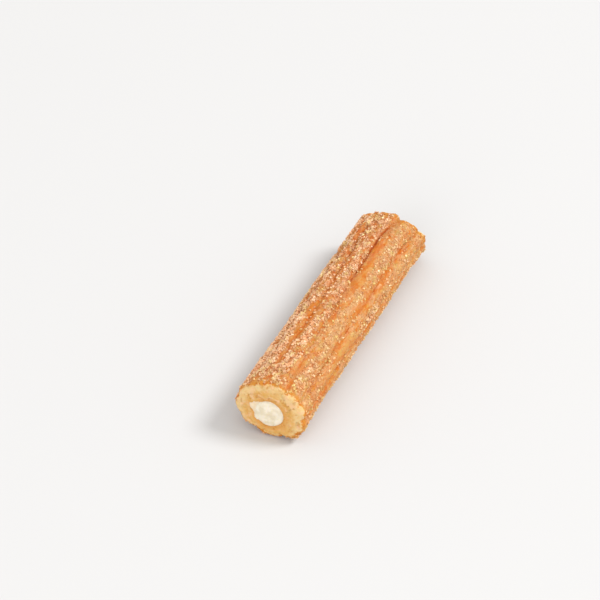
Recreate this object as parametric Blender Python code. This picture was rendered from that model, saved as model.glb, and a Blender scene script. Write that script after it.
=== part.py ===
"""A cream-filled churro: a ridged, fried dough stick with a core of cream from end to end.

Metres, +Z up. The churro lies along Y with its front cut end towards -Y, on the flat spots
that its lowest ridges have pressed into themselves. Angles run round the axis from +Z to +X.
"""

import math

import bmesh
import bpy

# Overall sizes, over the ridges
LENGTH = 0.1080  # along the axis, between the middles of the two cut ends
WIDTH = 0.0250
HEIGHT = 0.0226  # before the underside is pressed flat
FLAT_DEPTH = 0.0010  # how far the floor presses into the lowest ridges
TAPER = 0.006  # share by which the front is thicker, and the rear thinner, than the middle

# Ridges left by the star nozzle
RIDGES = 11
RIDGE_DEPTH = 0.0012  # crest to groove, at the middle
RIDGE_DEPTH_CHANGE = 0.20  # share by which the depth varies from place to place
REAR_DEEPENING = 0.22  # share by which the rear grooves are deeper, and the front shallower
CREST_FLATNESS = 2.5  # 2 is a round crest, more is flatter with a sharper groove
FIRST_GROOVE = math.radians(22.0)
TWIST = math.radians(2.0)  # clockwise, rear to front
DRIFT = math.radians(10.0)  # how far the first groove wanders off to one side
DRIFT_CURVE = (-1.05, -0.78, 0.60)  # of that, at the middle, per half length and per its square
DRIFT_SPREAD = math.radians(22.0)
LEFT_LINE = math.radians(-35.0)  # the line beside the first groove that wanders off to -X
LEFT_SPREAD = math.radians(16.0)
LEFT_DRIFT = math.radians(2.0)
# Its bends: where one starts and how long it is, as shares of half the length, and its size
LEFT_BENDS = ((-0.1, 0.40, math.radians(5.0)), (0.4, 0.35, math.radians(7.0)))
SWAY = math.radians(2.0)  # uneven spacing of the ridges
UNDER_SHIFT = math.radians(6.0)  # sets two ridges of the underside evenly on the floor
REAR_TURN = math.radians(11.0)  # extra twist that the cut gave the rear end
REAR_TURN_REACH = 0.016
BOW = -0.0002  # how far the axis bends sideways at the middle
SWELL = 0.0001  # uneven thickness along the length

# Cut ends
RIM_ROUND = 0.0019  # radius of the rounded outer rim
LIP_ROUND = 0.0010  # radius of the rounded edge where the cream comes out
FACE_SWELL = 0.0003  # how far a cut face bulges between rim and cream
FLARE = 0.020  # share by which an end spreads where it was cut
FLARE_REACH = 0.0070
SLANT_REACH = 0.020  # the slants fade out this far from an end
FRONT_SLANT = (-0.030, 0.030)  # metres of Y for each metre of X and of Z
REAR_SLANT = (0.060, -0.300)
SQUEEZE_REACH = 0.011
# Where the knife squeezed an end: end, angle, spread and metres pushed in (or out, below 0)
SQUEEZES = (
    (-1, math.radians(205), math.radians(26), 0.0021),
    (-1, math.radians(158), math.radians(19), 0.0013),
    (-1, math.radians(125), math.radians(14), -0.0009),
    (-1, math.radians(272), math.radians(20), -0.0004),
    (1, math.radians(108), math.radians(24), -0.0003),
)

# Cream core
CORE_RADIUS = 0.0052
CORE_OFFSET = (-0.00035, -0.0013)  # from the churro's axis, X and Z
CORE_UNEVENNESS = 0.05  # share of its radius
CREAM_GAP = 0.0003
CREAM_BULGE = 0.0008  # height of the dome at each end of the cream

# Fineness of the faceted solids
SIDES_PER_RIDGE = 8
SKIN_RINGS = 28
RIM_RINGS = 3
FACE_RINGS = 3
CORE_RINGS = 9
CREAM_SIDES = 40
CREAM_CAP_RINGS = 4

AXIS_HEIGHT = HEIGHT / 2 - FLAT_DEPTH
HALF = LENGTH / 2


def smooth_step(x):
    """0 below 0, 1 above 1 and a smooth rise between."""
    x = min(max(x, 0.0), 1.0)
    return x * x * (3 - 2 * x)


def groove_angle(turn, along):
    """Angle round the axis of a line of dough that left the nozzle at `turn`, from 0 to 2 pi."""
    share = along / HALF
    from_first = math.remainder(turn, 2 * math.pi)
    off = from_first / DRIFT_SPREAD
    curve = DRIFT_CURVE[0] + DRIFT_CURVE[1] * share + DRIFT_CURVE[2] * share * share
    drift = DRIFT * curve * math.exp(-off * off)
    off = (from_first - LEFT_LINE) / LEFT_SPREAD
    left = LEFT_DRIFT
    for start, reach, bend in LEFT_BENDS:
        left += bend * smooth_step((share - start) / reach)
    drift -= left * math.exp(-off * off)
    sway = SWAY * (math.sin(turn) + 0.3 * math.sin(5 * turn + share))
    sway -= UNDER_SHIFT * (0.5 - 0.5 * math.cos(turn)) ** 3
    rear = REAR_TURN * smooth_step(1 - (HALF - along) / REAR_TURN_REACH)
    return FIRST_GROOVE + turn - TWIST * share / 2 + drift + sway + rear


def ridge_depth(turn, along):
    """Crest-to-groove depth on this line, which is uneven."""
    share = along / HALF
    change = math.sin(2 * turn + 2.0 + 2.3 * share) + math.sin(5 * turn + 0.4 - 1.7 * share)
    return RIDGE_DEPTH * (1 + RIDGE_DEPTH_CHANGE * change + REAR_DEEPENING * share)


def squeeze(angle, along):
    """How far the skin is pushed in by the cut at the nearer end."""
    pushed = 0.0
    for end, middle, spread, depth in SQUEEZES:
        near_end = smooth_step(1 - (HALF - end * along) / SQUEEZE_REACH)
        off = math.remainder(angle - middle, 2 * math.pi) / spread
        pushed += near_end * depth * math.exp(-off * off)
    return pushed


def skin_point(turn, along):
    """X and Z on the ridged outside of the dough."""
    share = along / HALF
    across = 2 * (RIDGES * turn / (2 * math.pi) % 1) - 1  # 0 on a crest, 1 or -1 in a groove
    dip = ridge_depth(turn, along) * abs(across) ** CREST_FLATNESS
    swell = SWELL * (math.sin(5.3 * share + 0.5) + math.sin(turn + 3.1 * share))
    from_end = (HALF - abs(along)) / FLARE_REACH
    size = 1 - TAPER * share + FLARE * (1 - smooth_step(from_end))
    angle = groove_angle(turn, along)
    bulge = swell - dip - squeeze(angle, along)
    x = (size * WIDTH / 2 + bulge) * math.sin(angle)
    z = (size * HEIGHT / 2 + bulge) * math.cos(angle)
    return x + BOW * (1 - share * share), z


def core_point(turn, along, gap=0.0):
    """X and Z on the wall of the channel, or on the cream inside it at this gap."""
    share = along / HALF
    angle = groove_angle(turn, along)
    uneven = math.sin(2 * angle + 2.6 + 1.9 * share) + 0.6 * math.sin(3 * angle - 1.0 + 2.6 * share)
    radius = CORE_RADIUS * (1 + CORE_UNEVENNESS * uneven) - gap
    x = CORE_OFFSET[0] + BOW * (1 - share * share) + radius * math.sin(angle)
    return x, CORE_OFFSET[1] + radius * math.cos(angle)


def slanted(x, along, z):
    """Y of a point once the cut ends lean, which fades out along the length."""
    slant = FRONT_SLANT if along < 0 else REAR_SLANT
    near_end = smooth_step(1 - (HALF - abs(along)) / SLANT_REACH)
    return along + near_end * (slant[0] * x + slant[1] * z)


def dough_loop():
    """The dough's cross-section along its length, as (share of the wall, Y) pairs in a loop.

    The share is 0 on the channel's wall and 1 on the outside. The loop runs along the channel
    to the front, out over the front face and rim, back along the outside, and in at the rear.
    """
    wall = (WIDTH + HEIGHT) / 4 - CORE_RADIUS
    lip, rim = LIP_ROUND / wall, RIM_ROUND / wall
    loop = []
    for i in range(CORE_RINGS):  # channel, rear to front
        loop.append((0.0, (HALF - LIP_ROUND) * (1 - 2 * i / (CORE_RINGS - 1))))
    end = []
    for i in range(FACE_RINGS + 1):  # cut face, outwards from the lip
        share = i / FACE_RINGS
        swell = FACE_SWELL * math.sin(math.pi * share)
        end.append((lip + (1 - rim - lip) * share, HALF + swell))
    for i in range(1, RIM_RINGS + 1):  # rounded rim
        angle = math.pi / 2 * i / (RIM_RINGS + 1)
        end.append((1 - rim + rim * math.sin(angle), HALF - RIM_ROUND * (1 - math.cos(angle))))
    loop += [(share, -y) for share, y in end]
    for i in range(SKIN_RINGS):  # outside, front to rear
        loop.append((1.0, (HALF - RIM_ROUND) * (2 * i / (SKIN_RINGS - 1) - 1)))
    loop += end[::-1]
    return loop


def dough_point(turn, share, along):
    """The place of one corner of the dough's mesh, with the underside pressed flat."""
    inner, outer = core_point(turn, along), skin_point(turn, along)
    x = inner[0] + share * (outer[0] - inner[0])
    z = inner[1] + share * (outer[1] - inner[1])
    return x, slanted(x, along, z), max(z + AXIS_HEIGHT, 0.0)


def build_dough():
    """The dough: a ridged tube, its rings joined in one loop round the wall."""
    sides = RIDGES * SIDES_PER_RIDGE
    mesh = bmesh.new()
    rings = []
    for share, along in dough_loop():
        turns = [2 * math.pi * k / sides for k in range(sides)]
        rings.append([mesh.verts.new(dough_point(turn, share, along)) for turn in turns])
    join_rings(mesh, rings, closed=True)
    return finished_mesh(mesh, "churro_dough")


def cream_point(turn, share, along, bulge):
    """The place of one corner of the cream's mesh; share is 0 on its axis and 1 on its side."""
    share_of_axis = along / HALF
    outer = core_point(turn, along, CREAM_GAP)
    middle = (CORE_OFFSET[0] + BOW * (1 - share_of_axis**2), CORE_OFFSET[1])
    x = middle[0] + share * (outer[0] - middle[0])
    z = middle[1] + share * (outer[1] - middle[1])
    return x, slanted(x, along, z) + bulge, z + AXIS_HEIGHT


def cream_cap(mesh, sign):
    """Rings of a domed end of the cream, from its side inwards, and the point at its middle."""
    rings = []
    for i in range(CREAM_CAP_RINGS + 1):
        share = math.cos(math.pi / 2 * i / (CREAM_CAP_RINGS + 1))
        bulge = sign * CREAM_BULGE * math.sqrt(1 - share * share)
        turns = [2 * math.pi * k / CREAM_SIDES for k in range(CREAM_SIDES)]
        along = sign * (HALF - LIP_ROUND)
        ring = [mesh.verts.new(cream_point(turn, share, along, bulge)) for turn in turns]
        rings.append(ring)
    tip = mesh.verts.new(cream_point(0.0, 0.0, sign * (HALF - LIP_ROUND), sign * CREAM_BULGE))
    return rings, tip


def build_cream():
    """The cream: an uneven rod that fills the channel, with a domed end at each cut face."""
    mesh = bmesh.new()
    front, front_tip = cream_cap(mesh, -1)
    rear, rear_tip = cream_cap(mesh, 1)
    side = []
    for i in range(1, CORE_RINGS - 1):
        along = (HALF - LIP_ROUND) * (2 * i / (CORE_RINGS - 1) - 1)
        turns = [2 * math.pi * k / CREAM_SIDES for k in range(CREAM_SIDES)]
        side.append([mesh.verts.new(cream_point(turn, 1.0, along, 0.0)) for turn in turns])
    join_rings(mesh, front[::-1] + side + rear, closed=False)
    for k in range(CREAM_SIDES):
        after = (k + 1) % CREAM_SIDES
        mesh.faces.new((front_tip, front[-1][after], front[-1][k]))
        mesh.faces.new((rear_tip, rear[-1][k], rear[-1][after]))
    return finished_mesh(mesh, "cream_filling")


def join_rings(mesh, rings, closed):
    """Quads between each ring and the next, and from the last back to the first if closed."""
    pairs = list(zip(rings, rings[1:]))
    if closed:
        pairs.append((rings[-1], rings[0]))
    for ring, after in pairs:
        for k in range(len(ring)):
            nxt = (k + 1) % len(ring)
            mesh.faces.new((ring[k], after[k], after[nxt], ring[nxt]))


def finished_mesh(mesh, name):
    """A mesh with its faces pointing out, shaded smooth apart from real edges."""
    bmesh.ops.recalc_face_normals(mesh, faces=mesh.faces)
    data = bpy.data.meshes.new(name)
    mesh.to_mesh(data)
    mesh.free()
    data.shade_smooth()
    data.set_sharp_from_angle(angle=math.radians(50))
    return data


def material(name, color, roughness):
    """A plain food surface, with no metal in it."""
    made = bpy.data.materials.new(name)
    made.use_nodes = True
    shader = made.node_tree.nodes["Principled BSDF"]
    shader.inputs["Base Color"].default_value = (*color, 1.0)
    shader.inputs["Roughness"].default_value = roughness
    shader.inputs["Metallic"].default_value = 0.0
    return made


def add_object(mesh, finish):
    """One named object for one piece of the food."""
    mesh.materials.append(finish)
    made = bpy.data.objects.new(mesh.name, mesh)
    bpy.context.scene.collection.objects.link(made)
    return made


def centre_on_origin(objects):
    """Moves the pieces together, so that the middle of their box lies over the origin."""
    corners = [vertex.co for made in objects for vertex in made.data.vertices]
    for axis in (0, 1):
        values = [corner[axis] for corner in corners]
        middle = (min(values) + max(values)) / 2
        for made in objects:
            made.location[axis] -= middle


def main():
    for old in list(bpy.data.objects):
        bpy.data.objects.remove(old, do_unlink=True)
    crust = material("fried_dough", (0.72, 0.36, 0.13), 0.55)
    cream = material("cream", (0.86, 0.78, 0.60), 0.35)
    centre_on_origin([add_object(build_dough(), crust), add_object(build_cream(), cream)])


main()
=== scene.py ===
import math

import bpy
import bmesh
from mathutils import Matrix, Vector, noise
from mathutils.bvhtree import BVHTree


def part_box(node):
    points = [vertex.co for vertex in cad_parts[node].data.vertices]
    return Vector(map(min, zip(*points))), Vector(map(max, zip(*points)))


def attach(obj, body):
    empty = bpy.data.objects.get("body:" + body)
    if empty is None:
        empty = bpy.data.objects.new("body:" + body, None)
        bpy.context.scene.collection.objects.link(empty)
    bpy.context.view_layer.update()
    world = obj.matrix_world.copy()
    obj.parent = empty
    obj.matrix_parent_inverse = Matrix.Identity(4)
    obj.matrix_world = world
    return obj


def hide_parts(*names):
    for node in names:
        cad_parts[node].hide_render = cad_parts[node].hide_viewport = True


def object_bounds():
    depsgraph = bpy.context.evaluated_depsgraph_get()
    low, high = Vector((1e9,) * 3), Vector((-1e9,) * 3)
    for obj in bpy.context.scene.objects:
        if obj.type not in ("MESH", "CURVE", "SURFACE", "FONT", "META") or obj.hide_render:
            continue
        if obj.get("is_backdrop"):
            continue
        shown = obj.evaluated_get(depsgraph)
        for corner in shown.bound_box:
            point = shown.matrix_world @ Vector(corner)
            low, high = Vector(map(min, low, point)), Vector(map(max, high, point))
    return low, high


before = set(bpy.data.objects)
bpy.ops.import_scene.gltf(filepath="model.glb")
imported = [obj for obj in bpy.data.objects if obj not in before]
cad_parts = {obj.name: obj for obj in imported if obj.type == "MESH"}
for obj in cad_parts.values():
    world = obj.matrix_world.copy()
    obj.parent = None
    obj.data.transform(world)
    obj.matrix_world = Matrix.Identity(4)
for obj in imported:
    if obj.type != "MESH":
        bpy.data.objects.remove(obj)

cadLow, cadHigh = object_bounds()
mm = 0.001
tau = 2 * math.pi


def tone(red, green, blue):  # a screen colour from 0 to 255, as the linear colour that nodes mix
    steps = [channel / 255 for channel in (red, green, blue)]
    return tuple(((step + 0.055) / 1.055) ** 2.4 if step > 0.04 else step / 12.92 for step in steps)


def pick(sockets, key):  # a socket by its name or its place among those in use
    used = [socket for socket in sockets if socket.enabled]
    if isinstance(key, int):
        return used[key]
    return next(socket for socket in used if socket.name == key)


def mathMethod(operation, swapped=False):  # what one of Python's operators does to a field
    def apply(self, other):
        terms = (other, self) if swapped else (self, other)
        return self.tree.math(operation, *terms)
    return apply


class Field:  # an output socket that Python's own operators work on
    def __init__(self, tree, socket):
        self.tree = tree
        self.socket = socket

    def also(self, name):  # another output of the same node
        return Field(self.tree, pick(self.socket.node.outputs, name))

    __add__, __radd__ = mathMethod("ADD"), mathMethod("ADD", True)
    __sub__, __rsub__ = mathMethod("SUBTRACT"), mathMethod("SUBTRACT", True)
    __mul__, __rmul__ = mathMethod("MULTIPLY"), mathMethod("MULTIPLY", True)
    __truediv__, __rtruediv__ = mathMethod("DIVIDE"), mathMethod("DIVIDE", True)
    __pow__ = mathMethod("POWER")

    def __neg__(self):
        return self.tree.math("MULTIPLY", self, -1.0)

    def __abs__(self):
        return self.tree.math("ABSOLUTE", self)


class Tree:  # a node tree, for shaders and for geometry alike
    def __init__(self, data):
        self.data = data

    def node(self, kind, values=None, settings=None, output=0):
        made = self.data.nodes.new(kind)
        for name, value in (settings or {}).items():
            if name == "stops":
                self.setStops(made.color_ramp, value)
            else:
                setattr(made, name, value)
        for name, value in (values or {}).items():
            self.feed(pick(made.inputs, name), value)
        return Field(self, pick(made.outputs, output)) if made.outputs else made

    def feed(self, socket, value):  # links one field or several, or sets a number, a colour or a name
        if isinstance(value, (list, tuple)) and isinstance(value[0], Field):
            for one in value:
                self.data.links.new(one.socket, socket)
        elif isinstance(value, Field):
            self.data.links.new(value.socket, socket)
        elif socket.type == "RGBA":
            socket.default_value = (*value[:3], 1.0)
        elif socket.type == "VECTOR" and isinstance(value, (int, float)):
            socket.default_value = (value, value, value)
        else:
            socket.default_value = value

    def setStops(self, ramp, stops):
        while len(ramp.elements) < len(stops):
            ramp.elements.new(1.0)
        for element, (position, color) in zip(ramp.elements, stops):
            element.position = position
            element.color = (*tone(*color), 1.0)

    def math(self, operation, *terms):
        isVector = any(
            isinstance(term, tuple) or isinstance(term, Field) and term.socket.type == "VECTOR"
            for term in terms
        )
        kind = "ShaderNodeVectorMath" if isVector else "ShaderNodeMath"
        return self.node(kind, dict(enumerate(terms)), {"operation": operation})

    def sine(self, angle):
        return self.math("SINE", angle)

    def cosine(self, angle):
        return self.math("COSINE", angle)

    def bell(self, off):  # 1 where off is 0, falling away on both sides
        return self.math("EXPONENT", -(off * off))

    def smooth(self, value, low=0.0, high=1.0):  # 0 at low, 1 at high, with a soft rise
        settings = {"interpolation_type": "SMOOTHSTEP"}
        values = {"Value": value, "From Min": low, "From Max": high}
        return self.node("ShaderNodeMapRange", values, settings)

    def between(self, share, start, end):  # start where share is 0, end where it is 1
        return start + share * (end - start)

    def split(self, vector):
        x = self.node("ShaderNodeSeparateXYZ", {"Vector": vector})
        return x, x.also("Y"), x.also("Z")

    def join(self, x, y, z):
        return self.node("ShaderNodeCombineXYZ", {"X": x, "Y": y, "Z": z})

    def noise(self, place, size, detail=2.0, roughness=0.5, distortion=0.0):
        values = {"Vector": place, "Scale": 1 / size, "Detail": detail}
        values.update({"Roughness": roughness, "Distortion": distortion})
        return self.node("ShaderNodeTexNoise", values, output="Fac")

    def cells(self, place, size):  # soft round cells, by the distance from their middles
        values = {"Vector": place, "Scale": 1 / size}
        return self.node("ShaderNodeTexVoronoi", values, {"feature": "SMOOTH_F1"}, "Distance")

    def mix(self, factor, first, second, blend="MIX"):  # of colours
        settings = {"data_type": "RGBA", "blend_type": blend}
        return self.node("ShaderNodeMix", {"Factor": factor, "A": first, "B": second}, settings)

    def read(self, name):  # a named attribute of the mesh
        if self.data.type == "GEOMETRY":
            return self.node("GeometryNodeInputNamedAttribute", {"Name": name})
        return self.node("ShaderNodeAttribute", settings={"attribute_name": name}, output="Fac")

    def store(self, geometry, name, value, domain="POINT"):  # keeps a field as a named attribute
        values = {"Geometry": geometry, "Name": name, "Value": value}
        return self.node("GeometryNodeStoreNamedAttribute", values, {"domain": domain})

    def setPosition(self, geometry, position):
        return self.node("GeometryNodeSetPosition", {"Geometry": geometry, "Position": position})

    def shift(self, geometry, offset):
        return self.node("GeometryNodeSetPosition", {"Geometry": geometry, "Offset": offset})

    def objectPlace(self):  # a shader's place on the piece, in millimetres
        return self.node("ShaderNodeTexCoord", output="Object") * (1 / mm)


def geometryGroup(name, sizes):  # a Geometry Nodes group with a named input for each size
    group = bpy.data.node_groups.new(name, "GeometryNodeTree")
    kinds = {float: "NodeSocketFloat", int: "NodeSocketInt"}
    group.interface.new_socket("Geometry", in_out="INPUT", socket_type="NodeSocketGeometry")
    for key, value in sizes.items():
        group.interface.new_socket(key, in_out="INPUT", socket_type=kinds[type(value)])
    group.interface.new_socket("Material", in_out="INPUT", socket_type="NodeSocketMaterial")
    group.interface.new_socket("Geometry", in_out="OUTPUT", socket_type="NodeSocketGeometry")
    tree = Tree(group)
    start = tree.node("NodeGroupInput")
    fields = {key: start.also(key) for key in ("Geometry", *sizes, "Material")}
    return tree, fields


def endGroup(tree, geometry, material):  # what every group ends in
    solid = tree.node("GeometryNodeRealizeInstances", {"Geometry": geometry})
    painted = tree.node("GeometryNodeSetMaterial", {"Geometry": solid, "Material": material})
    tree.node("NodeGroupOutput", {"Geometry": painted})
    return tree.data


def addObject(name, data):
    made = bpy.data.objects.new(name, data)
    bpy.context.scene.collection.objects.link(made)
    return made


def grow(name, group, sizes, material, start=None):  # runs a group and keeps its result as a plain mesh
    made = addObject(name, start or bpy.data.meshes.new(name))
    modifier = made.modifiers.new(name, "NODES")
    modifier.node_group = group
    settings = {**sizes, "Material": material}
    for item in group.interface.items_tree:
        if item.in_out == "INPUT" and item.name in settings:
            modifier[item.identifier] = settings[item.name]
    graph = bpy.context.evaluated_depsgraph_get()
    mesh = bpy.data.meshes.new_from_object(
        made.evaluated_get(graph), preserve_all_data_layers=True, depsgraph=graph
    )
    made.modifiers.remove(modifier)
    made.data = mesh
    mesh.name = name
    print(f"{name}: {len(mesh.polygons)} faces")
    return made


# Lengths are in millimetres, angles in degrees from the top towards +X, and the front end is towards -Y
dough = {
    "length": 108.0,
    "width": 25.0,
    "height": 22.6,
    "flatDepth": 1.0,  # how far the floor presses into the lowest ridges
    "taper": 0.006,
    "ridges": 11,
    "ridgeDepth": 1.2,
    "ridgeDepthChange": 0.20,
    "rearDeepening": 0.22,
    "crestFlatness": 2.5,
    "firstGroove": 22.0,
    "twist": 2.0,
    "drift": 10.0,
    "driftSpread": 22.0,
    "sway": 2.0,
    "underShift": 6.0,
    "rearTurn": 11.0,
    "rearTurnReach": 16.0,
    "bow": -0.2,
    "waver": 1.2,  # how far a groove wanders along its way
    "rimRound": 1.9,
    "lipRound": 1.2,
    "facePuff": 0.55,  # how far a cut face swells between rim and cream
    "faceSink": 0.55,  # and how far it sinks again on one side
    "flare": 0.020,
    "flareReach": 7.0,
    "slantReach": 20.0,
    "squeezeReach": 11.0,
    "coreRadius": 4.95,
    "coreRight": -0.35,
    "coreUp": -1.3,
    "coreUnevenness": 0.05,
    "creaseDepth": 0.30,  # the tight fold at the bottom of a groove
    "creaseWidth": 0.075,  # share of half a ridge
    "lumpHeight": 0.60,
    "bumpHeight": 0.24,
    "blisterHeight": 0.20,
    "crumbHeight": 0.18,
    "sidesPerRidge": 30,
    "skinRings": 228,
    "rimRings": 9,
    "faceRings": 17,
    "lipRings": 4,
    "channelRings": 7,
    "weld": 0.002,
    "seed": 4,
}
faceForm = {  # in radians round a cut face, and in shares of the way in from its rim
    "puffTurn": 0.5,
    "sinkTurn": 4.4,
    "sinkSpread": 0.75,
    "sinkInward": 0.35,
    "sinkWidth": 0.22,
}
grooveWay = {  # how the grooves beside the top run, where place is -1 at the front and 1 at the rear
    "driftCurve": (0.6, -0.78, -1.05),  # of place squared, of place, and at the middle
    "leftAngle": -35,
    "leftSpread": 16,
    "leftDrift": 2.0,
    "leftBends": [(-0.1, 0.3, 5.0), (0.4, 0.75, 7.0)],  # from one place to the next, by so many degrees
}
fold = {  # the deep fold in the groove beside the top
    "spread": 0.2,  # radians
    "grows": (-8.0, 36.0),  # from one place along the churro to the next
    "fades": (41.0, 49.0),
    "fadeAmount": 0.85,
}
coating = {  # in radians round the churro: where the sugar lies thick, and from where it thins out
    "rolledMiddle": -0.76,
    "rolledReach": (1.05, 0.9),
    "underReach": (1.1, 0.7),
    "underAmount": 0.8,
    "raggedness": 0.5,
}
ridgeSugar = {
    "middle": 0.57,  # share of the way from groove to groove where most sugar lies
    "spread": 0.29,
    "even": 0.75,  # its amount where it lies evenly
    "frontEvens": (8.0, -22.0),
    "frontAmount": 0.55,
    "rearEvens": (28.0, 46.0),
    "rearAmount": 0.65,
}
relief = {  # how wide each kind of lump or hole is
    "lump": 4.2,
    "bump": 1.35,
    "blister": 1.9,
    "blisterPatch": 7.0,
    "crumb": 0.9,
    "pore": 1.5,
}
slants = {"front": (-0.030, 0.030), "rear": (0.060, -0.300)}  # mm of Y for each mm of X and of Z
squeezes = [  # where the knife squeezed an end, or below 0 where it swelled
    {"end": -1, "angle": 205, "spread": 26, "depth": 2.1},
    {"end": -1, "angle": 158, "spread": 19, "depth": 1.3},
    {"end": -1, "angle": 125, "spread": 14, "depth": -0.9},
    {"end": -1, "angle": 272, "spread": 20, "depth": -0.4},
    {"end": 1, "angle": 108, "spread": 24, "depth": -0.3},
    {"end": 1, "angle": 40, "spread": 19, "depth": 0.9},
    {"end": 1, "angle": 10, "spread": 9, "depth": -0.8},
]
crustEdges = [  # reach is how much further the crust runs over the cut at an angle
    {"angle": 122, "spread": 65, "reach": 1.2},
    {"angle": 290, "spread": 80, "reach": -1.1},
    {"angle": 203, "spread": 42, "reach": 2.1},
    {"angle": 327, "spread": 20, "reach": 0.7},
    {"angle": 75, "spread": 40, "reach": -1.9},
]
bareSpots = [  # where the sugar never stuck or was rubbed off
    {"angle": -14, "along": -18, "wide": 10, "long": 16, "amount": 1.5},
    {"angle": -16, "along": 12, "wide": 7, "long": 13, "amount": 0.9},
    {"angle": 20, "along": 26, "wide": 7, "long": 25, "amount": 0.6},
    {"angle": 14, "along": 24, "wide": 4, "long": 22, "amount": 0.5},
    {"angle": 325, "along": -51, "wide": 22, "long": 3.5, "amount": 0.9},
    {"angle": 25, "along": -42, "wide": 6, "long": 17, "amount": 0.75},
    {"angle": 80, "along": -24, "wide": 8, "long": 22, "amount": 1.0},
    {"angle": -11, "along": 27, "wide": 6, "long": 11, "amount": 0.5},
    {"angle": 50, "along": 20, "wide": 5, "long": 30, "amount": 0.5},
    {"angle": 71, "along": -18, "wide": 12, "long": 10, "amount": 1.1},
    {"angle": 47, "along": -3, "wide": 7, "long": 8, "amount": 0.8},
    {"angle": 24, "along": 12, "wide": 6, "long": 12, "amount": 0.8},
    {"angle": 62, "along": 34, "wide": 6, "long": 5, "amount": 0.7},
    {"angle": 92, "along": -36, "wide": 14, "long": 12, "amount": 0.8},
    {"angle": 100, "along": 20, "wide": 14, "long": 22, "amount": 0.5},
    {"angle": 176, "along": -14, "wide": 12, "long": 20, "amount": 0.8},
    {"angle": 215, "along": 10, "wide": 10, "long": 14, "amount": 0.8},
    {"angle": 265, "along": 24, "wide": 6, "long": 9, "amount": 0.8},
    {"angle": 290, "along": -20, "wide": 5, "long": 12, "amount": 0.8},
]
friedSpots = [  # where the crust came out darkest
    {"angle": -14, "along": -17, "wide": 9, "long": 16, "amount": 1.0},
    {"angle": 80, "along": -17, "wide": 9, "long": 14, "amount": 0.7},
    {"angle": 80, "along": -44, "wide": 8, "long": 12, "amount": 0.5},
    {"angle": -16, "along": 12, "wide": 7, "long": 15, "amount": 0.9},
    {"angle": -14, "along": 32, "wide": 9, "long": 12, "amount": 0.6},
    {"angle": -8, "along": 29, "wide": 6, "long": 10, "amount": 0.8},
    {"angle": -9, "along": -31, "wide": 6, "long": 6, "amount": 0.6},
    {"angle": 28, "along": -1, "wide": 9, "long": 6, "amount": 0.45},
    {"angle": 34, "along": -50, "wide": 9, "long": 4, "amount": 0.6},
    {"angle": 14, "along": 26, "wide": 5, "long": 20, "amount": 0.6},
    {"angle": 28, "along": -42, "wide": 5, "long": 9, "amount": 0.6},
    {"angle": 325, "along": -51, "wide": 22, "long": 3.5, "amount": 0.35},
    {"angle": 17, "along": 34, "wide": 7, "long": 16, "amount": 0.3},
    {"angle": 20, "along": -6, "wide": 6, "long": 60, "amount": 0.45},
    {"angle": 52, "along": 8, "wide": 8, "long": 55, "amount": 0.6},
    {"angle": 58, "along": 39, "wide": 6, "long": 3, "amount": 0.9},
    {"angle": 96, "along": -38, "wide": 13, "long": 13, "amount": 0.8},
    {"angle": 180, "along": 4, "wide": 20, "long": 24, "amount": 0.7},
    {"angle": 232, "along": -30, "wide": 12, "long": 14, "amount": 0.7},
    {"angle": 265, "along": 24, "wide": 7, "long": 9, "amount": 0.6},
]
sugarSpots = [  # where more sugar stuck on the thinly sugared side
    {"angle": 37, "along": 32, "wide": 8, "long": 18, "amount": 0.5},
    {"angle": 38, "along": -41, "wide": 8, "long": 11, "amount": 0.9},
    {"angle": 79, "along": 4, "wide": 10, "long": 8, "amount": 0.8},
    {"angle": 45, "along": 30, "wide": 5, "long": 9, "amount": 0.5},
    {"angle": 90, "along": 8, "wide": 12, "long": 16, "amount": 0.5},
    {"angle": 130, "along": -5, "wide": 12, "long": 26, "amount": 0.6},
]
spiceSpots = [  # where cinnamon gathered
    {"angle": -34, "along": 34, "wide": 14, "long": 12, "amount": 0.9},
    {"angle": -16, "along": 38, "wide": 9, "long": 7, "amount": 0.6},
    {"angle": 18, "along": 41, "wide": 14, "long": 6, "amount": 0.5},
    {"angle": -8, "along": 47, "wide": 16, "long": 5, "amount": 0.7},
    {"angle": -15, "along": -36, "wide": 5, "long": 6, "amount": 0.6},
    {"angle": 47, "along": 8, "wide": 9, "long": 15, "amount": 0.4},
    {"angle": 12, "along": -42, "wide": 12, "long": 14, "amount": 0.35},
    {"angle": 230, "along": 12, "wide": 20, "long": 20, "amount": 0.6},
]
filledGrooves = [  # where a groove nearly closes up, or below 0 where it is deeper
    {"angle": 21, "along": 54, "wide": 8, "long": 9, "amount": -1.0},
    {"angle": -12, "along": 50, "wide": 16, "long": 12, "amount": 0.75},
    {"angle": -42, "along": 50, "wide": 14, "long": 14, "amount": 0.5},
    {"angle": 60, "along": 0, "wide": 14, "long": 22, "amount": 0.5},
    {"angle": 222, "along": -52, "wide": 40, "long": 10, "amount": 0.6},
    {"angle": 30, "along": -50, "wide": 40, "long": 9, "amount": 0.4},
    {"angle": 205, "along": -10, "wide": 20, "long": 16, "amount": 0.4},
    {"angle": 17, "along": -24, "wide": 14, "long": 24, "amount": 0.45},
    {"angle": -14, "along": -4, "wide": 10, "long": 34, "amount": 0.3},
]


def wrapped(t, angle):  # an angle in radians, from -pi to pi
    return t.math("WRAP", angle, math.pi, -math.pi)


def offMiddle(t, angle, middle, spread):  # how many spreads from the middle, both in degrees
    return wrapped(t, angle - math.radians(middle)) / math.radians(spread)


def roundNoise(t, angle, along, radius, size, detail=2.0):  # noise that closes up round the churro
    place = t.join(t.sine(angle) * radius, along, t.cosine(angle) * radius)
    return t.noise(place, size, detail)


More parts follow.
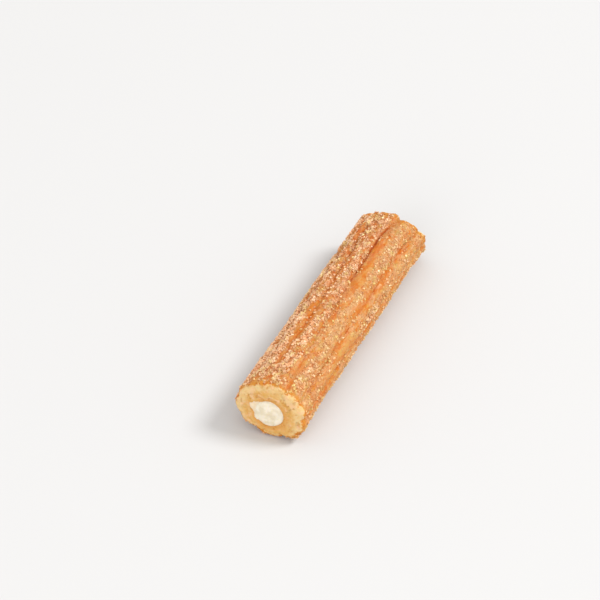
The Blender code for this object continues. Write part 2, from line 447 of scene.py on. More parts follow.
def spotShare(t, spots, angle, along):  # how much of any of these spots is here
    total = 0.0
    for spot in spots:
        off = offMiddle(t, angle, spot["angle"], spot["wide"])
        away = (along - spot["along"]) / spot["long"]
        total = total + spot["amount"] * t.math("EXPONENT", -(off * off) - away * away)
    return t.math("MINIMUM", total, 1.0)


def doughAngle(t, s, turn, along):  # where the dough that left the nozzle at this turn now lies
    place = along / (s["length"] / 2)
    wander = roundNoise(t, turn, along, 10, 11.0, 1.0)
    off = wrapped(t, turn) / t.math("RADIANS", s["driftSpread"])
    squared, straight, middle = grooveWay["driftCurve"]
    drift = s["drift"] * (squared * place * place + straight * place + middle) * t.bell(off)
    leftward = grooveWay["leftDrift"]
    for start, end, bend in grooveWay["leftBends"]:
        leftward = leftward + bend * t.smooth(place, start, end)
    offLeft = wrapped(t, turn) - math.radians(grooveWay["leftAngle"])
    drift = drift - leftward * t.bell(offLeft / math.radians(grooveWay["leftSpread"]))
    sway = s["sway"] * (t.sine(turn) + 0.3 * t.sine(5 * turn + place))
    under = s["underShift"] * (0.5 - 0.5 * t.cosine(turn)) ** 3
    rear = s["rearTurn"] * t.smooth(1 - (s["length"] / 2 - along) / s["rearTurnReach"])
    waver = s["waver"] * 2 * (wander - 0.5)
    bend = s["firstGroove"] - s["twist"] * place / 2 + drift + sway - under + rear + waver
    return turn + t.math("RADIANS", bend)


def pushedIn(t, s, angle, along):  # how far the cuts push the skin in
    total = 0.0
    for squeeze in squeezes:
        near = t.smooth(1 - (s["length"] / 2 - squeeze["end"] * along) / s["squeezeReach"])
        off = offMiddle(t, angle, squeeze["angle"], squeeze["spread"])
        total = total + near * squeeze["depth"] * t.bell(off)
    return total


def ridgeStep(t, s, turn):  # 0 to 1 from one groove to the next
    return t.math("FRACT", s["ridges"] * turn / tau)


def offCrest(t, s, turn):  # 0 on a crest, 1 in a groove
    return abs(2 * ridgeStep(t, s, turn) - 1)


def wallThickness(s):
    return (s["width"] + s["height"]) / 4 - s["coreRadius"]


def outOfRound(sine, angle, place):  # how the channel strays from a circle, for nodes and for numbers
    return sine(2 * angle + 2.6 + 1.9 * place) + 0.6 * sine(3 * angle - 1.0 + 2.6 * place)


def skinBulge(t, s, turn, angle, along):  # how far the skin stands out of a plain oval
    place = along / (s["length"] / 2)
    change = t.sine(2 * turn + 2.0 + 2.3 * place) + t.sine(5 * turn + 0.4 - 1.7 * place)
    depth = s["ridgeDepth"] * (1 + s["ridgeDepthChange"] * change + s["rearDeepening"] * place)
    depth = depth * (1 - spotShare(t, filledGrooves, angle, along))
    swell = 0.1 * (t.sine(5.3 * place + 0.5) + t.sine(turn + 3.1 * place))
    return swell - depth * offCrest(t, s, turn) ** s["crestFlatness"] - pushedIn(t, s, angle, along)


def doughPlace(t, s, turn, share, along):  # a point of the dough, share of the way from channel to skin
    half = s["length"] / 2
    place = along / half
    angle = doughAngle(t, s, turn, along)
    bulge = skinBulge(t, s, turn, angle, along)
    size = 1 - s["taper"] * place + s["flare"] * (1 - t.smooth((half - abs(along)) / s["flareReach"]))
    bow = s["bow"] * (1 - place * place)
    skinX = bow + (size * s["width"] / 2 + bulge) * t.sine(angle)
    skinZ = (size * s["height"] / 2 + bulge) * t.cosine(angle)
    radius = s["coreRadius"] * (1 + s["coreUnevenness"] * outOfRound(t.sine, angle, place))
    coreX = s["coreRight"] + bow + radius * t.sine(angle)
    coreZ = s["coreUp"] + radius * t.cosine(angle)
    x, z = t.between(share, coreX, skinX), t.between(share, coreZ, skinZ)
    leans = [x * slants[end][0] + z * slants[end][1] for end in ("front", "rear")]
    lean = t.between(t.math("GREATER_THAN", along, 0.0), *leans)
    y = along + lean * t.smooth(1 - (half - abs(along)) / s["slantReach"])
    return t.join(x, y, t.math("MAXIMUM", z + s["height"] / 2 - s["flatDepth"], 0.0))


def doughSheets(t, s):  # flat sheets for skin, rims, cut faces, lips and channel, marked with their places
    half = s["length"] / 2
    lipShare, rimShare = s["lipRound"] / wallThickness(s), s["rimRound"] / wallThickness(s)
    x, y, _ = t.split(t.node("GeometryNodeInputPosition"))
    around = (x + 0.5) * tau
    columns = s["ridges"] * s["sidesPerRidge"]

    def sheet(rings, shareAlong, end=1):  # rings round the churro, in step with the loop of its wall
        values = {"Size X": 1.0, "Size Y": 1.0, "Vertices X": columns + 1, "Vertices Y": rings}
        made = t.node("GeometryNodeMeshGrid", values)
        step = y + 0.5 if end > 0 else 1 - (y + 0.5)
        share, along = shareAlong(step, end)
        made = t.store(made, "share", share)
        made = t.store(made, "along", along)
        return t.store(made, "turn", around)

    def skin(step, _):
        return 1.0, (half - s["rimRound"]) * (2 * step - 1)

    def channel(step, _):
        return 0.0, (half - s["lipRound"]) * (1 - 2 * step)

    def rim(inward, end):
        bend = math.pi / 2 * inward
        share = 1 - rimShare + rimShare * t.cosine(bend)
        return share, end * (half - s["rimRound"] * (1 - t.sine(bend)))

    def cutFace(inward, end):
        side = t.bell(wrapped(t, around - faceForm["sinkTurn"]) / faceForm["sinkSpread"])
        side = side * t.bell((inward - faceForm["sinkInward"]) / faceForm["sinkWidth"])
        puff = s["facePuff"] * (0.55 + 0.45 * t.cosine(around - faceForm["puffTurn"]))
        puff = puff - s["faceSink"] * side
        return t.between(inward, 1 - rimShare, lipShare), end * (half + puff * t.sine(math.pi * inward))

    def lip(inward, end):
        bend = math.pi / 2 * inward
        return lipShare * (1 - t.sine(bend)), end * (half - s["lipRound"] * (1 - t.cosine(bend)))

    sheets = [sheet(s["skinRings"], skin), sheet(s["channelRings"], channel)]
    for end in (-1, 1):
        for rings, shareAlong in (("rimRings", rim), ("faceRings", cutFace), ("lipRings", lip)):
            sheets.append(sheet(s[rings], shareAlong, end))
    return t.node("GeometryNodeJoinGeometry", {"Geometry": sheets[::-1]})


def markDough(t, s, body):  # stores where the crust is folded, bare, fried, spiced, ridged and sugared
    turn, share, along = t.read("turn"), t.read("share"), t.read("along")
    angle = doughAngle(t, s, turn, along)
    wander = roundNoise(t, turn, along, 9, 9.0)
    folded = t.bell(wrapped(t, turn) / fold["spread"]) * t.smooth(along, *fold["grows"])
    folded = folded * (1 - fold["fadeAmount"] * t.smooth(along, *fold["fades"]))
    nearGroove = t.bell((1 - offCrest(t, s, turn)) / s["creaseWidth"])
    body = t.store(body, "crease", nearGroove * (t.smooth(wander, 0.45, 0.75) * 0.45 + folded))
    for name, spots in {"bare": bareSpots, "fried": friedSpots, "spice": spiceSpots}.items():
        body = t.store(body, name, spotShare(t, spots, angle, along))

    # sugar on the crests, which evens out towards both ends
    evened = t.smooth(along + 30 * (wander - 0.5), *ridgeSugar["frontEvens"]) * ridgeSugar["frontAmount"]
    evened = evened + t.smooth(along, *ridgeSugar["rearEvens"]) * ridgeSugar["rearAmount"]
    onRidge = t.bell((ridgeStep(t, s, turn) - ridgeSugar["middle"]) / ridgeSugar["spread"])
    body = t.store(body, "crest", t.between(evened, onRidge, ridgeSugar["even"]))

    # how far the skin's brown edge is, in mm along the wall: above 0 on the crust, below 0 on the cut
    fromEnd = s["length"] / 2 - abs(along) - (1 - share) * wallThickness(s)
    for edge in crustEdges:
        off = offMiddle(t, angle, edge["angle"], edge["spread"])
        fromEnd = fromEnd + edge["reach"] * t.bell(off)
    body = t.store(body, "rim", fromEnd + 0.3)

    # the side that was rolled in sugar, and patches underneath
    ragged = roundNoise(t, angle, along * 0.5, 12, 3.0, 3.0)
    ragged = (ragged - 0.5) * coating["raggedness"]
    offRolled = abs(wrapped(t, angle - coating["rolledMiddle"]))
    rolled = t.smooth(offRolled + ragged, *coating["rolledReach"])
    under = t.smooth(abs(wrapped(t, angle - math.pi)) + 2 * ragged, *coating["underReach"])
    thick = t.math("MAXIMUM", rolled, under * coating["underAmount"])
    return t.store(body, "coat", t.math("MAXIMUM", thick, spotShare(t, sugarSpots, angle, along)))


def roughenDough(t, s, body, seeded):  # relief in the dough itself, along its normals
    stretched = seeded * (1.0, 0.4, 1.0)  # patterns longer along the churro
    lumps = (t.noise(stretched, relief["lump"]) - 0.5) * 2 * s["lumpHeight"]
    clump = t.noise(seeded * (1.0, 0.7, 1.0), relief["bump"])
    bumps = (clump - 0.5) * 2 * s["bumpHeight"] * (0.8 + 0.8 * t.read("coat"))
    blisterPatch = t.smooth(t.noise(stretched, relief["blisterPatch"]), 0.5, 0.68)
    blisters = s["blisterHeight"] * t.smooth(t.cells(seeded, relief["blister"]), 0.42, 0.1) * blisterPatch
    share = t.read("share")
    onSkin = t.smooth(share, 0.8, 0.98)
    inFace = t.smooth(share, 0.02, 0.14) * (1 - onSkin)
    crumb = (t.noise(seeded, relief["crumb"], 3.0, 0.65) - 0.5) * 2 * s["crumbHeight"]
    pore = inFace * t.smooth(t.noise(seeded, relief["pore"], 1.0, 0.5, 0.6), 0.57, 0.69)
    height = onSkin * (lumps + bumps + blisters - t.read("crease") * s["creaseDepth"])
    height = height + inFace * (lumps * 0.8 + crumb) - 2.3 * s["crumbHeight"] * pore
    body = t.shift(body, t.node("GeometryNodeInputNormal") * height)
    x, y, z = t.split(t.node("GeometryNodeInputPosition"))
    body = t.setPosition(body, t.join(x, y, t.math("MAXIMUM", z, 0.0)))
    body = t.store(body, "clump", clump)
    return t.store(body, "pore", pore)


def markSugar(t, body, seeded):  # stores where sugar sticks
    patches = t.smooth(t.noise(seeded * (1.0, 0.35, 1.0), 2.0, 3.0, 0.6), 0.4, 0.54)
    gaps = t.smooth(t.noise(seeded * (1.0, 0.4, 1.0) + (0.0, 50.0, 0.0), 2.4, 2.0, 0.6), 0.4, 0.52)
    clumped = t.smooth(t.read("clump"), 0.40, 0.53)
    coat = t.read("coat")
    thinly = (0.12 + 0.88 * patches) * (0.4 + 0.6 * clumped)
    thickly = (0.1 + 0.9 * gaps) * (0.15 + 0.85 * clumped)
    sugar = t.between(coat, thinly, thickly)
    sugar = sugar * (0.2 + 0.8 * t.read("crest")) * (1 - 0.92 * t.read("bare"))
    body = t.store(body, "held", t.between(coat, patches, gaps))
    sugar = sugar * (1 - t.smooth(t.read("crease"), 0.1, 0.5))
    fray = (t.noise(seeded, 1.8) - 0.5) * 5.0
    _, _, z = t.split(t.node("GeometryNodeInputPosition"))
    offFloor = t.smooth(z, 0.3, 2.2)
    fromCut = t.smooth(t.read("rim") + fray, 0.7, 2.4)
    return t.store(body, "sugar", sugar * offFloor * fromCut)


def doughGroup():
    t, s = geometryGroup("doughNodes", dough)
    body = markDough(t, s, doughSheets(t, s))
    body = t.setPosition(body, doughPlace(t, s, t.read("turn"), t.read("share"), t.read("along")))
    body = t.node("GeometryNodeMergeByDistance", {"Geometry": body, "Distance": s["weld"]})
    seeded = t.node("GeometryNodeInputPosition") + t.join(s["seed"] * 31.7, 0.0, 0.0)  # where noise is read
    body = markSugar(t, roughenDough(t, s, body, seeded), seeded)
    body = t.node("GeometryNodeTransform", {"Geometry": body, "Scale": mm})
    body = t.node("GeometryNodeSetShadeSmooth", {"Geometry": body, "Shade Smooth": True})
    return endGroup(t, body, s["Material"])


def principled(name, constants):  # a new material, its tree and its shader, with constants on the shader
    made = bpy.data.materials.new(name)
    made.use_nodes = True
    shader = made.node_tree.nodes["Principled BSDF"]
    for key, value in {"Metallic": 0.0, "IOR": 1.45, "Subsurface Scale": 1.0, **constants}.items():
        shader.inputs[key].default_value = value
    return made, Tree(made.node_tree), shader


def finishMaterial(t, shader, color, roughness, height=None, depth=0.0):  # depth of the bumps in mm
    t.feed(shader.inputs["Base Color"], color)
    t.feed(shader.inputs["Roughness"], roughness)
    if height is not None:
        bump = t.node("ShaderNodeBump", {"Strength": 1.0, "Distance": depth * mm, "Height": height})
        t.feed(shader.inputs["Normal"], bump)


crust = {
    "gold": tone(208, 155, 84),
    "yellow": tone(203, 167, 88),
    "dust": tone(226, 184, 138),
    "orange": tone(207, 124, 40),
    "fried": tone(202, 102, 24),
    "brown": tone(188, 99, 37),
    "red": tone(186, 74, 26),
    "foldShade": tone(166, 66, 14),
    # painted shade for the folds
    "edge": tone(208, 142, 56),
    "crumb": tone(216, 169, 98),
    "crumbPale": tone(228, 195, 139),
    "crumbPink": tone(233, 190, 147),
    "crumbMoist": tone(215, 152, 76),
    # golden crumb darkened as painted shade, for the ring round the cream
    "crumbRingShade": tone(214, 156, 72),
    "pore": tone(200, 138, 66),
}


def friedColor(t, place):  # golden crests, browner grooves, and spots that fried or spiced darker
    stretched = place * (1.0, 0.4, 1.0)
    coat, bare = t.read("coat"), t.read("bare")
    broad = t.noise(stretched, 1.9, 3.0, 0.65) + 0.2 * t.read("crest") - 0.08
    color = t.mix(t.smooth(broad, 0.44, 0.59), crust["orange"], crust["gold"])
    yellow = t.smooth(t.noise(stretched + (0.0, 0.0, 40.0), 2.4, 3.0, 0.6), 0.54, 0.68)
    color = t.mix(yellow * 0.85, color, crust["yellow"])
    fry = t.smooth(t.noise(stretched, 1.2, 3.0, 0.65), 0.5, 0.64)
    color = t.mix(fry * 0.65 * (1 - bare), color, crust["fried"])
    uneven = t.smooth(t.noise(place * (1.0, 0.6, 1.0), 1.2), 0.25, 0.6)
    color = t.mix(t.read("fried") * uneven, color, crust["fried"])
    hollow = t.smooth(t.read("clump"), 0.52, 0.38)
    color = t.mix((1 - coat) * hollow * 0.36, color, crust["fried"])
    color = t.mix(coat * (0.3 + 0.6 * hollow) * (1 - bare), color, crust["brown"])
    spots = t.smooth(t.noise(place * (1.0, 0.6, 1.0), 1.4), 0.57, 0.66)
    color = t.mix(spots * 0.6 * (1 - bare * 0.8), color, crust["red"])
    return t.mix(t.read("spice") * (0.4 + 0.4 * hollow), color, crust["brown"])


def dustedColor(t, place, color):  # adds sugar too fine to be grains, and painted shade that darkens the folds
    specks = t.smooth(t.noise(place, 0.3, 2.0, 0.6), 0.46, 0.62)
    streaks = t.smooth(t.noise(place * (1.0, 0.4, 1.0) + (7.0, 0.0, 0.0), 1.3), 0.42, 0.58)
    streaks = streaks * t.smooth(t.read("rim"), 0.6, 2.0) * (1 - 0.8 * t.read("bare"))
    dusted = t.read("sugar") * (0.4 + 0.3 * specks)
    dusted = dusted + streaks * (0.09 + 0.36 * t.read("held") + 0.14 * specks)
    color = t.mix(dusted * (1 - 0.4 * t.read("spice")), color, crust["dust"])
    # painted shade: darkens the folds and the bottoms of the grooves towards a deep brown
    return t.mix(t.read("crease") * 0.85, color, crust["foldShade"])


def edgedColor(t, place, rim, color):  # adds the golden, partly charred edge round each cut
    band = t.smooth(rim, 3.2, 0.8)
    blotches = t.smooth(t.noise(place, 0.9, 3.0), 0.4, 0.6)
    color = t.mix(band * (0.4 + 0.6 * blotches), color, crust["edge"])
    charred = t.smooth(t.noise(place + (0.0, 9.0, 3.0), 0.8, 3.0, 0.6), 0.53, 0.62)
    return t.mix(band * charred * 0.85, color, crust["brown"])


def cutColor(t, place):  # the soft dough of a cut face: moist beside the cream, with a ring of painted shade round it, and pale towards the crust, partly as a painted highlight
    grain = t.smooth(t.noise(place, 2.6, 4.0, 0.6), 0.34, 0.66)
    fromCream = t.read("share") + (t.noise(place, 2.4) - 0.5) * 0.3
    # paler crumb towards the rounded rim, partly its own tone and partly a painted highlight on the lip
    rimPaleAndHighlight = t.smooth(fromCream, 0.58, 0.72)
    color = t.mix(grain * 0.7 + rimPaleAndHighlight * 0.45, crust["crumb"], crust["crumbPale"])
    # painted shade: a darker golden ring round the cream, deepening the crumb's own golden tone there
    color = t.mix(t.bell((fromCream - 0.45) / 0.12) * 0.55, color, crust["crumbRingShade"])
    pinkish = t.smooth(t.noise(place + (9.0, 0.0, 4.0), 2.0), 0.5, 0.7)
    color = t.mix(pinkish * 0.7, color, crust["crumbPink"])
    moist = t.smooth(fromCream, 0.42, 0.12)
    color = t.mix(moist * 0.8, color, crust["crumbMoist"])
    return t.mix(t.read("pore") * 0.5, color, crust["pore"])


def crustMaterial():
    made, t, shader = principled("friedDough", {
        "Subsurface Weight": 0.12,
        "Subsurface Radius": (0.0025, 0.0012, 0.0006),
        "Specular IOR Level": 0.14,
    })
    place = t.objectPlace()
    rim = t.read("rim") + (t.noise(place, 1.5, 4.0, 0.65) - 0.5) * 7.0
    skin = edgedColor(t, place, rim, dustedColor(t, place, friedColor(t, place)))
    color = t.mix(t.smooth(rim, -0.4, 0.5), cutColor(t, place), skin)
    fine = t.noise(place, 0.9, 4.0, 0.6) + t.noise(place, 0.35, 3.0, 0.6) * 0.7
    fine = fine + t.noise(place, 0.12) * 0.3
    rough = 0.5 + 0.2 * t.noise(place, 1.1) - 0.12 * t.read("bare")
    finishMaterial(t, shader, color, rough, fine, 0.3)
    return made


# Density is for each square millimetre. Reach is how much of the sugared crust a kind covers, onThin is
# its share of that on the thinly sugared side, and spiceGain how many more lie where cinnamon gathered.
grainKinds = {
    "sugar_crystals": {
        "size": 0.54, "sizeChange": 0.45, "spacing": 0.42, "density": 13.0, "reach": 1.35, "onThin": 0.2,
        "spiceGain": -0.3, "sink": 0.16, "tilt": 50.0, "jitter": 0.13, "seed": 3,
    },
    "fine_sugar": {
        "size": 0.31, "sizeChange": 0.45, "spacing": 0.28, "density": 12.0, "reach": 1.3, "onThin": 0.75,
        "spiceGain": -0.2, "sink": 0.07, "tilt": 60.0, "jitter": 0.08, "seed": 8, "sides": 4,
    },
    "sugar_dust": {
        "size": 0.2, "sizeChange": 0.4, "spacing": 0.21, "density": 13.0, "reach": 1.3, "onThin": 0.9,
        "spiceGain": -0.2, "sink": 0.04, "tilt": 80.0, "jitter": 0.05, "seed": 21, "sides": 3,
    },
    "cinnamon_specks": {
        "size": 0.24, "sizeChange": 0.5, "spacing": 0.35, "density": 5.0, "reach": 0.6, "onThin": 0.3,
        "spiceGain": 3.0, "sink": 0.05, "tilt": 30.0, "jitter": 0.06, "seed": 15, "sides": 4,
    },
}


grainForm = {"flatness": 0.8, "sphereRings": 2, "sphereRadius": 0.62, "jitterScale": 4000.0}


def grainGroup(name, sizes):  # grains scattered on the dough that it is given
    t, s = geometryGroup(name + "Nodes", sizes)
    thinner = t.between(t.read("coat"), s["onThin"], 1.0)
    richer = 1 + s["spiceGain"] * t.read("spice")
    mask = t.math("MINIMUM", t.read("sugar") * s["reach"] * thinner * richer, 1.0)
    points = t.node("GeometryNodeDistributePointsOnFaces", {
        "Mesh": s["Geometry"], "Distance Min": s["spacing"] * mm, "Density Max": s["density"] * 1e6,
        "Density Factor": mask, "Seed": s["seed"],
    }, {"distribute_method": "POISSON"})
    lifted = t.shift(points, points.also("Normal") * ((s["size"] * 0.5 - s["sink"]) * mm))
    if "sides" in sizes:  # the others are cubes
        grain = t.node("GeometryNodeMeshUVSphere", {
            "Segments": s["sides"], "Rings": grainForm["sphereRings"], "Radius": grainForm["sphereRadius"],
        })
    else:
        grain = t.node("GeometryNodeMeshCube", {"Size": (1.0, 1.0, 1.0)})
    tilt = t.math("RADIANS", s["tilt"])
    euler = t.node("FunctionNodeRandomValue", {
        "Min": t.join(-tilt, -tilt, -math.pi), "Max": t.join(tilt, tilt, math.pi), "Seed": s["seed"] + 1,
    }, {"data_type": "FLOAT_VECTOR"})
    spin = t.node("FunctionNodeEulerToRotation", {"Euler": euler})
    turned = t.node("FunctionNodeRotateRotation", {
        "Rotation": points.also("Rotation"), "Rotate By": spin,
    }, {"rotation_space": "LOCAL"})
    low, high = s["size"] * mm * (1 - s["sizeChange"]), s["size"] * mm * (1 + s["sizeChange"])
    flat = grainForm["flatness"]
    size = t.node("FunctionNodeRandomValue", {
        "Min": t.join(low, low, low * flat), "Max": t.join(high, high, high * flat), "Seed": s["seed"] + 2,
    }, {"data_type": "FLOAT_VECTOR"})
    grains = t.node("GeometryNodeInstanceOnPoints", {
        "Points": lifted, "Instance": grain, "Rotation": turned, "Scale": size,
    })
    tint = t.node("FunctionNodeRandomValue", {"Seed": s["seed"] + 3})
    grains = t.store(grains, "tint", tint, "INSTANCE")
    solid = t.node("GeometryNodeRealizeInstances", {"Geometry": grains})
    spread = t.node("ShaderNodeTexNoise", {
        "Vector": t.node("GeometryNodeInputPosition"), "Scale": grainForm["jitterScale"], "Detail": 0.0,
    }, output="Color")
    solid = t.shift(solid, (spread - (0.5, 0.5, 0.5)) * (s["jitter"] * 2 * mm))
    solid = t.node("GeometryNodeSetShadeSmooth", {"Geometry": solid, "Shade Smooth": False})
    return endGroup(t, solid, s["Material"])


grainLooks = {
    "sugar_crystals": {"roughness": 0.25, "stops": [
        (0.0, (196, 138, 94)),
        (0.4, (216, 167, 122)),
        (0.8, (234, 194, 152)),
        # the near-white last stop is a painted glint on the palest few crystals
        (1.0, (248, 222, 188)),
    ]},
    "fine_sugar": {"roughness": 0.45, "stops": [
        (0.0, (198, 138, 90)),
        (0.5, (214, 162, 114)),
        (1.0, (228, 186, 142)),
    ]},
    "sugar_dust": {"roughness": 0.45, "stops": [
        (0.0, (204, 144, 94)),
        (0.5, (218, 168, 120)),
        (1.0, (232, 192, 150)),
    ]},
    "cinnamon_specks": {"roughness": 0.45, "stops": [
        (0.0, (128, 58, 26)),
        (0.6, (168, 86, 44)),
        (1.0, (196, 110, 62)),
    ]},
}


def grainMaterial(name):
    made, t, shader = principled(name, {"IOR": 1.54})
    place = t.objectPlace()
    cloud = t.smooth(t.noise(place * (1.0, 0.5, 1.0) + (0.0, 0.0, 30.0), 2.2), 0.36, 0.62)
    tint = t.read("tint") * 0.5 + t.smooth(t.read("clump"), 0.35, 0.65) * 0.2 + cloud * 0.33
    color = t.node("ShaderNodeValToRGB", {"Fac": tint}, {"stops": grainLooks[name]["stops"]}, "Color")
    # duller on the thinly sugared side, and in places yellower or redder
    color = t.mix(1 - t.read("coat"), color, (0.98, 0.99, 0.8), "MULTIPLY")
    hue = t.noise(place * (1.0, 0.5, 1.0), 2.1)
    color = t.mix(t.smooth(hue, 0.52, 0.64), color, (0.97, 1.06, 0.74), "MULTIPLY")
    color = t.mix(t.smooth(hue, 0.48, 0.38), color, (1.04, 0.85, 0.7), "MULTIPLY")
    rough = grainLooks[name]["roughness"] + 0.15 * t.noise(place, 0.2, 1.0)
    finishMaterial(t, shader, color, rough, t.noise(place, 0.1, 1.0), 0.02)
    return made


cream = {
    "sides": 120,
    "capRings": 30,
    "overlap": 0.05,  # how far it presses into the channel's wall
    "sunk": 0.8,  # depth of its edge below the cut face
    "bulge": 0.65,
    "tilt": 0.25,  # how far it stands out on its lower left
    "foldHeight": 0.35,
    "foldSize": 2.6,
    "film": 0.16,  # thickness of a smear
    "filmStart": 0.62,  # share of the radius from which it leans towards a smear
    "edgeReach": 0.25,  # how far it runs over the lip where there is no smear
    "smearFrom": 0.3,  # a reach past this begins to be a smear
    "smearRise": 0.6,
    "tuck": 0.3,  # how far its edge turns under
    "lookFrom": 4.0,  # how far out of the cut face the dough's surface is looked for
    "lookDepth": 9.0,
    "missedHeight": -2.0,  # where there is none
    "wallDepths": (1.6, 2.4, 3.4),  # of the last rings, inside the channel
}
smears = [  # where the knife dragged it over the dough
    {"end": -1, "angle": 296, "spread": 22, "reach": 3.0},
    {"end": -1, "angle": 246, "spread": 20, "reach": 0.7},
    {"end": 1, "angle": 60, "spread": 20, "reach": 2.4},
]


def creamMaterial():
    made, t, shader = principled("creamFilling", {
        "Subsurface Weight": 0.25,
        "Subsurface Radius": (0.003, 0.0025, 0.0015),
    })
    place = t.objectPlace()
    cloud = t.smooth(t.noise(place, 2.5, 3.0), 0.35, 0.65)
    color = t.mix(cloud, tone(215, 203, 176), tone(232, 222, 202))
    thin = t.smooth(t.read("thin") + (t.noise(place, 1.0) - 0.5) * 0.6, 0.3, 1.0)
    color = t.mix(thin * 0.75, color, tone(230, 202, 165))
    rough = 0.32 + 0.14 * t.noise(place, 1.0)
    finishMaterial(t, shader, color, rough, t.noise(place, 0.6, 3.0), 0.08)
    return made


def creamRadius(angle, along):
    uneven = outOfRound(math.sin, angle, along / (dough["length"] / 2))
    return dough["coreRadius"] * (1 + dough["coreUnevenness"] * uneven) + cream["overlap"]


def creamPlace(angle, radius, along, out):  # out is how far the point stands out of the cut face
    bow = dough["bow"] * (1 - (along / (dough["length"] / 2)) ** 2)
    x = dough["coreRight"] + bow + radius * math.sin(angle)
    z = dough["coreUp"] + radius * math.cos(angle)
    slant = slants["front"] if along < 0 else slants["rear"]
    lean = slant[0] * x + slant[1] * z
    y = along + lean + math.copysign(1.0, along) * out
    return Vector((x, y, z + dough["height"] / 2 - dough["flatDepth"]))


def easeStep(value):
    value = min(max(value, 0.0), 1.0)
    return value * value * (3 - 2 * value)


def smearReach(angle, end):  # how far the cream runs over the lip at this angle
    reach = cream["edgeReach"]
    for smear in smears:
        off = math.remainder(angle - math.radians(smear["angle"]), tau) / math.radians(smear["spread"])
        if smear["end"] == end:
            reach += smear["reach"] * math.exp(-off * off)
    around = Vector((math.sin(angle), end, math.cos(angle)))
    return reach * (1 + 0.3 * noise.noise(around * 2.6) + 0.2 * noise.noise(around * 9.0))


def creamDome(angle, radius, edge, end):  # how far the cream's domed, folded tip stands out of the cut face
    share = min(radius / edge, 1.0)
    spot = Vector((radius * math.sin(angle), 7.0 * end, radius * math.cos(angle)))
    folds = noise.noise(spot / cream["foldSize"]) + 0.5 * noise.noise(spot / cream["foldSize"] * 2.3)
    low = cream["tilt"] * (-spot.x - spot.z) / edge
    dome = cream["bulge"] * math.sqrt(1 - share * share) - cream["sunk"]
    return dome + (cream["foldHeight"] * folds + low) * (1 - share**4) - 0.4 * max(radius - edge, 0.0)


def creamRows(end, wall):  # rings of points from the tip of one end to inside the channel
    along = end * dough["length"] / 2
    angles = [tau * k / cream["sides"] for k in range(cream["sides"])]

    def doughHeight(angle, radius):  # of the dough's own surface against the cut face
        start = creamPlace(angle, radius, along, cream["lookFrom"]) * mm
        far = wall.ray_cast(start, Vector((0, -end, 0)), cream["lookDepth"] * mm)[3]
        return cream["lookFrom"] - far / mm if far else cream["missedHeight"]

    rows = [[] for _ in range(cream["capRings"])]
    for angle in angles:
        edge = creamRadius(angle, along)
        reach = smearReach(angle, end)
        start = cream["filmStart"] * edge
        smeared = easeStep((reach - cream["smearFrom"]) / cream["smearRise"])
        for i, row in enumerate(rows):
            radius = (edge + reach) * (i + 1) / cream["capRings"]
            height = creamDome(angle, radius, edge, end)
            left = max(edge + reach - radius, 0.0) / reach
            film = cream["film"] * min(left * 3, 1.0) ** 0.5
            over = easeStep((radius - start) / (edge + 0.6 - start)) * smeared
            height += over * (doughHeight(angle, max(radius, edge + 0.5)) + film - height)
            if row is rows[-1]:
                height -= cream["tuck"]
            thin = easeStep((radius - edge + 0.4) / 1.6) * smeared
            row.append((creamPlace(angle, radius, along, height), thin))
    for depth in cream["wallDepths"]:
        inside = [creamPlace(angle, creamRadius(angle, along), along, -depth) for angle in angles]
        rows.append([(corner, 0.0) for corner in inside])
    return rows


def makeCream(material, doughMesh, move):
    corners = [vertex.co for vertex in doughMesh.vertices]
    wall = BVHTree.FromPolygons(corners, [face.vertices for face in doughMesh.polygons])
    mesh = bmesh.new()
    ordered = creamRows(-1, wall) + creamRows(1, wall)[::-1]
    thinLayer = mesh.verts.layers.float.new("thin")
    rings = [[mesh.verts.new(corner) for corner, _ in row] for row in ordered]
    for ring, row in zip(rings, ordered):
        for corner, (_, thin) in zip(ring, row):
            corner[thinLayer] = thin
    for ring, after in zip(rings, rings[1:]):
        for k in range(len(ring)):
            nextK = (k + 1) % len(ring)
            mesh.faces.new((ring[k], after[k], after[nextK], ring[nextK]))
    for ring in (rings[0], rings[-1]):
        tip = mesh.verts.new(sum((corner.co for corner in ring), Vector()) / len(ring))
        for k in range(len(ring)):
            mesh.faces.new((ring[k], ring[(k + 1) % len(ring)], tip))
    bmesh.ops.recalc_face_normals(mesh, faces=mesh.faces)
    data = bpy.data.meshes.new("creamCore")
    mesh.to_mesh(data)
    mesh.free()
    data.transform(move @ Matrix.Scale(mm, 4))
    data.shade_smooth()
    data.materials.append(material)
    print(f"cream_core: {len(data.polygons)} faces")
    return addObject("cream_core", data)


grainRoom = Vector((0.1, 0.1, 0.2)) * mm  # kept free inside the CAD node's box, for grains on the dough


def meshBox(mesh):  # its low and its high corner
    corners = [vertex.co for vertex in mesh.vertices]
    return [Vector(limit(corner[i] for corner in corners) for i in range(3)) for limit in (min, max)]


def fitMove(mesh, low, high):  # sets the mesh into the CAD node's place and size
    ownLow, ownHigh = meshBox(mesh)
    scale = Matrix.Diagonal([(high[i] - low[i]) / (ownHigh[i] - ownLow[i]) for i in range(3)]).to_4x4()
    print("fit scale", [round(scale[i][i], 4) for i in range(3)])
    return Matrix.Translation((low + high) / 2) @ scale @ Matrix.Translation(-(ownLow + ownHigh) / 2)


studio = {  # metres, degrees and watts
    "azimuth": 23.5,
    "elevation": 38.3,
    "distance": 1.19,
    "lens": 210.0,
    "slideRight": -0.01156,
    "slideUp": 0.0051,
    "lookHeight": 0.011,
    "floorSize": 6.0,
    "floorTone": (0.66, 0.66, 0.66),
    "floorShade": (0.6, 0.6, 0.6),
    "worldTone": tone(246, 244, 242),
    "worldPower": 0.92,
    "keyWay": (1.0, 0.05, 1.15),  # to the camera's right, into the scene and up
    "keyPower": 97.0,
    "keySize": 1.5,
    "keyDistance": 4.0,
    "fillWay": (-0.35, -1.0, 0.38),
    "fillPower": 38.0,
    "fillSize": 2.4,
    "fillDistance": 3.0,
}


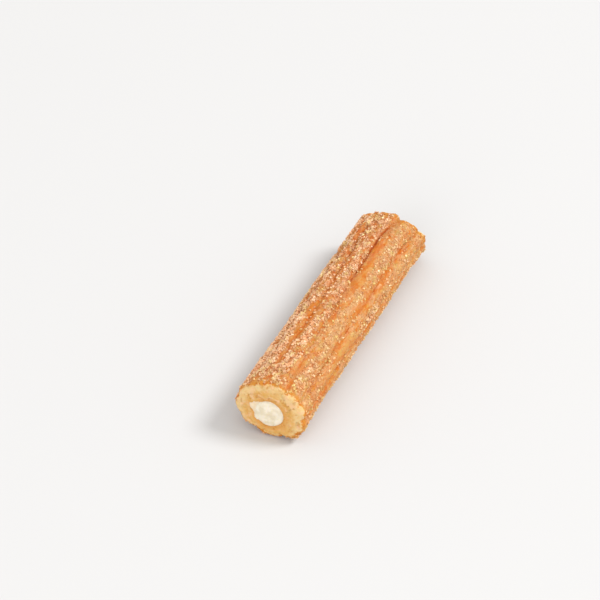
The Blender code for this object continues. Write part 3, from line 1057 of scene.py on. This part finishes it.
def makeCamera():
    data = bpy.data.cameras.new("studioCamera")
    data.lens = studio["lens"]
    data.clip_start = 0.01
    made = addObject("studioCamera", data)
    made.rotation_euler = (math.radians(90 - studio["elevation"]), 0.0, math.radians(studio["azimuth"]))
    slide = Vector((studio["slideRight"], studio["slideUp"], studio["distance"]))
    made.location = Vector((0, 0, studio["lookHeight"])) + made.rotation_euler.to_matrix() @ slide
    bpy.context.scene.camera = made


def makeLight(name):  # a soft disk that faces the churro
    way = Matrix.Rotation(math.radians(studio["azimuth"]), 3, "Z") @ Vector(studio[name + "Way"])
    data = bpy.data.lights.new(name + "Light", "AREA")
    data.shape = "DISK"
    data.size = studio[name + "Size"]
    data.energy = studio[name + "Power"]
    made = addObject(name + "Light", data)
    made.location = way.normalized() * studio[name + "Distance"]
    made.rotation_euler = way.to_track_quat("Z", "Y").to_euler()


def makeWorld():
    world = bpy.data.worlds.new("studioWorld")
    world.use_nodes = True
    bpy.context.scene.world = world
    background = world.node_tree.nodes["Background"]
    background.inputs["Color"].default_value = (*studio["worldTone"], 1.0)
    background.inputs["Strength"].default_value = studio["worldPower"]


def makeFloor():
    mesh = bmesh.new()
    bmesh.ops.create_circle(mesh, cap_ends=True, segments=96, radius=studio["floorSize"])
    data = bpy.data.meshes.new("studioFloor")
    mesh.to_mesh(data)
    mesh.free()
    floor = addObject("studio_floor", data)
    material, t, shader = principled("studioFloor", {"Specular IOR Level": 0.0})
    faint = t.noise(t.node("ShaderNodeTexCoord", output="Object"), 0.2)
    color = t.mix(faint * 0.02, studio["floorTone"], studio["floorShade"])
    finishMaterial(t, shader, color, 0.9 + faint * 0.05)
    data.materials.append(material)
    floor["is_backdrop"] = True


def makeStudio():
    bpy.context.scene.view_settings.view_transform = "Standard"
    makeCamera()
    makeLight("key")
    makeLight("fill")
    makeWorld()
    makeFloor()
    print("studio ready")


def main():
    makeStudio()
    doughPiece = grow("dough_stick", doughGroup(), dough, crustMaterial())
    low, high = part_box("churro_dough")
    move = fitMove(doughPiece.data, low + grainRoom * Vector((1, 1, 0)), high - grainRoom)
    creamPiece = makeCream(creamMaterial(), doughPiece.data, move)
    doughPiece.data.transform(move)
    pieces = [doughPiece, creamPiece]
    for name, sizes in grainKinds.items():
        group, material = grainGroup(name, sizes), grainMaterial(name)
        pieces.append(grow(name, group, sizes, material, doughPiece.data.copy()))
    for piece in pieces:
        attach(piece, "root")
    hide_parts("churro_dough")
    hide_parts("cream_filling")
    sizes = {"cad": [list(cadLow), list(cadHigh)], "visual": [list(corner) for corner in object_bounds()]}
    print("sizes", sizes)


main()
